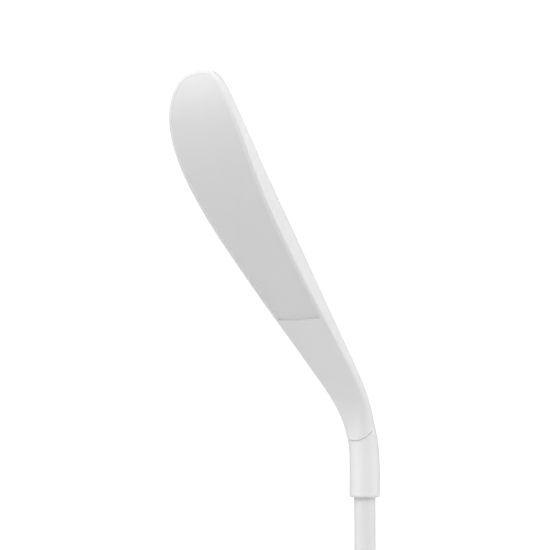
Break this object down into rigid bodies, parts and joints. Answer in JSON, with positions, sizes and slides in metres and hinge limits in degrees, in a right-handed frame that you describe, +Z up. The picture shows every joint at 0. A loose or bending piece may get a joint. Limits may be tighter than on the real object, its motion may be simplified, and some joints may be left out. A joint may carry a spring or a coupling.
{
  "type": "clip-on reading lamp",
  "caption": "Spring clip with a small housing, a sleeved flexible arm and a long paddle-shaped light head with a frosted diffuser set in its front.",
  "frame": {"origin": "middle of the upper jaw pad's gripping face, which lies on the top of the shelf or board that the clip grips", "axes": "+Z up, along the straight arm; -Y the way the jaws open and the light head leans; X = 0 is the plane of symmetry"},
  "size_m": [0.0446, 0.1465, 0.438],
  "materials": {
    "white_plastic": "satin, very fine moulded grain",
    "diffuser": "frosted, slightly translucent",
    "silicone": "matt, soft",
    "pad_rubber": "matt, ribbed",
    "steel": "plated, satin",
    "circuit_board": "green solder mask",
    "led_board": "white solder mask",
    "thermal_tape": "matt",
    "battery_wrap": "foil pouch",
    "black_plastic": "moulded",
    "indicator_lens": "clear light pipe",
    "cable_jacket": "matt",
    "battery_lead": "matt"
  },
  "bodies": {
    "base": {"base_cover": "white_plastic", "base_tray": "white_plastic", "arm_collar": "white_plastic", "arm_sleeve_1": "silicone", "upper_jaw_pad": "pad_rubber", "arm_core_1": "steel", "lower_ferrule": "steel", "lock_nut": "steel", "base_screw_1": "steel", "base_screw_2": "steel", "base_screw_3": "steel", "base_screw_4": "steel", "board_screw_left": "steel", "board_screw_right": "steel", "hinge_pin": "steel", "retaining_ring_left": "steel", "retaining_ring_right": "steel", "torsion_spring": "steel", "usb_socket": "steel", "control_board": "circuit_board", "battery": "battery_wrap", "tactile_switch": "black_plastic", "indicator_lens": "indicator_lens", "arm_cable": "cable_jacket", "battery_lead": "battery_lead"},
    "jaw": {"jaw_lower": "white_plastic", "lower_jaw_pad": "pad_rubber"},
    "button": {"power_button": "white_plastic", "switch_plunger": "black_plastic"},
    "arm_link_2": {"arm_core_2": "steel", "arm_sleeve_2": "silicone"},
    "arm_link_3": {"arm_core_3": "steel", "arm_sleeve_3": "silicone"},
    "arm_link_4": {"arm_core_4": "steel", "arm_sleeve_4": "silicone"},
    "arm_link_5": {"arm_core_5": "steel", "arm_sleeve_5": "silicone"},
    "arm_link_6": {"arm_core_6": "steel", "arm_sleeve_6": "silicone"},
    "arm_link_7": {"arm_core_7": "steel", "arm_sleeve_7": "silicone"},
    "arm_link_8": {"arm_core_8": "steel", "arm_sleeve_8": "silicone"},
    "head": {"head_shell": "white_plastic", "head_front_cover": "white_plastic", "diffuser": "diffuser", "led_board": "led_board", "thermal_tape": "thermal_tape", "upper_ferrule": "steel", "set_screw": "steel", "arm_core_9": "steel", "arm_sleeve_9": "silicone"}
  },
  "joints": [
    {"name": "jaw_hinge", "type": "hinge", "parent": "base", "child": "jaw", "pos_m": [0, 0.034, -0.01], "axis": [1, 0, 0], "range_deg": [-18.7, 26], "stiffness_Nm_per_rad": 0.6, "springref_deg": -34.38, "deforming": ["torsion_spring"]},
    {"name": "button_press", "type": "slide", "parent": "base", "child": "button", "axis": [0, 0, -1], "range_m": [0, 0.0008], "stiffness_N_per_m": 1200, "springref_m": -0.0005},
    {"name": "arm_bend_1", "type": "hinge", "parent": "base", "child": "arm_link_2", "pos_m": [0, 0.036, 0.054], "axis": [1, 0, 0], "range_deg": [-25, 25], "deforming": ["arm_cable"]},
    {"name": "arm_bend_2", "type": "hinge", "parent": "arm_link_2", "child": "arm_link_3", "pos_m": [0, 0.036, 0.076], "axis": [0, 1, 0], "range_deg": [-25, 25], "deforming": ["arm_cable"]},
    {"name": "arm_bend_3", "type": "hinge", "parent": "arm_link_3", "child": "arm_link_4", "pos_m": [0, 0.036, 0.098], "axis": [1, 0, 0], "range_deg": [-25, 25], "deforming": ["arm_cable"]},
    {"name": "arm_bend_4", "type": "hinge", "parent": "arm_link_4", "child": "arm_link_5", "pos_m": [0, 0.036, 0.12], "axis": [0, 1, 0], "range_deg": [-25, 25], "deforming": ["arm_cable"]},
    {"name": "arm_bend_5", "type": "hinge", "parent": "arm_link_5", "child": "arm_link_6", "pos_m": [0, 0.036, 0.142], "axis": [1, 0, 0], "range_deg": [-25, 25], "deforming": ["arm_cable"]},
    {"name": "arm_bend_6", "type": "hinge", "parent": "arm_link_6", "child": "arm_link_7", "pos_m": [0, 0.036, 0.164], "axis": [0, 1, 0], "range_deg": [-25, 25], "deforming": ["arm_cable"]},
    {"name": "arm_bend_7", "type": "hinge", "parent": "arm_link_7", "child": "arm_link_8", "pos_m": [0, 0.036, 0.186], "axis": [1, 0, 0], "range_deg": [-25, 25], "deforming": ["arm_cable"]},
    {"name": "arm_bend_8", "type": "hinge", "parent": "arm_link_8", "child": "head", "pos_m": [0, 0.036, 0.208], "axis": [0, 1, 0], "range_deg": [-25, 25], "deforming": ["arm_cable"]}
  ]
}
